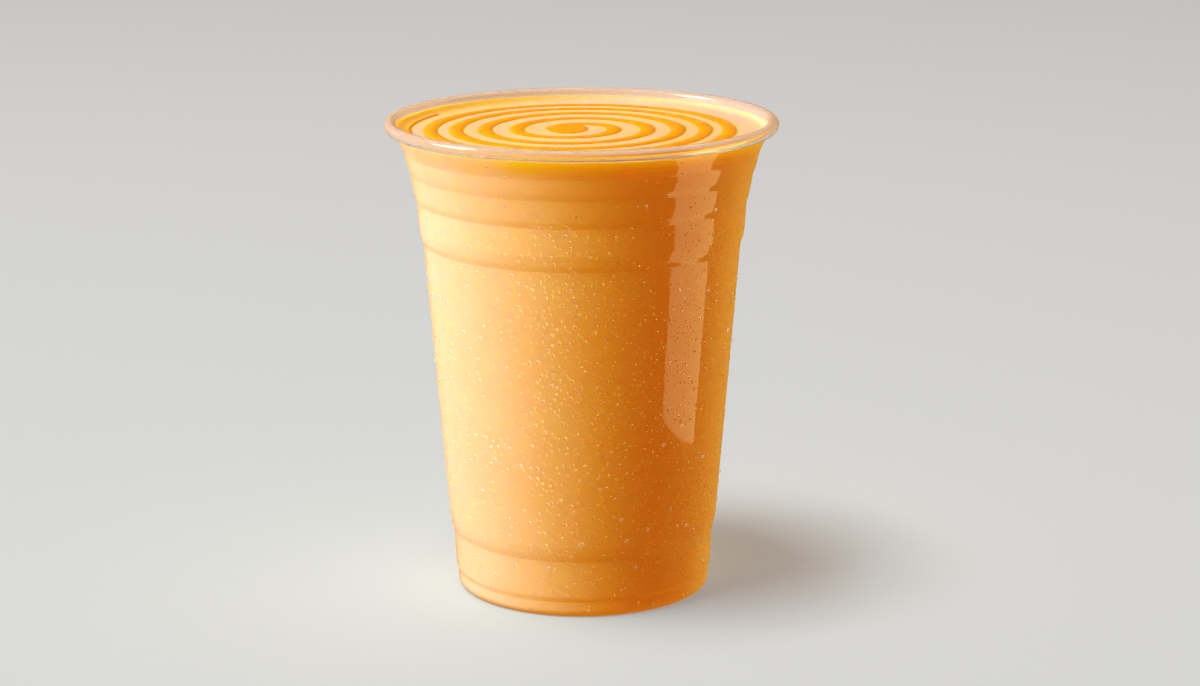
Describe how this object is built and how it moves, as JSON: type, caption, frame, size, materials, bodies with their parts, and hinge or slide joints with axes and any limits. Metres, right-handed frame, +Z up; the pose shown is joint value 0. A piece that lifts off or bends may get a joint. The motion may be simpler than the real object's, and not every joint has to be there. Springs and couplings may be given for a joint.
{
  "type": "mango lassi in a clear plastic cup",
  "caption": "Chilled mango lassi filled almost to the brim of a clear tapered plastic cup with a rolled rim, its top finished with a spiral ribbon of mango sauce",
  "frame": {"origin": "centre of the circle that the cup's foot stands on, on the ground", "axes": "+Z up along the cup's axis; +X to the viewer's right, -Y towards the viewer; the sauce spirals out clockwise seen from above"},
  "size_m": [0.098, 0.098, 0.1202],
  "materials": {
    "clear_plastic": "clear thermoformed plastic, glossy, wet with fine condensation",
    "lassi": "smooth wet yoghurt drink, creamy mango yellow",
    "mango_sauce": "glossy mango sauce, deep golden yellow"
  },
  "bodies": {
    "root": {"cup": "clear_plastic", "lassi": "lassi", "mango_swirl": "mango_sauce"}
  },
  "joints": []
}
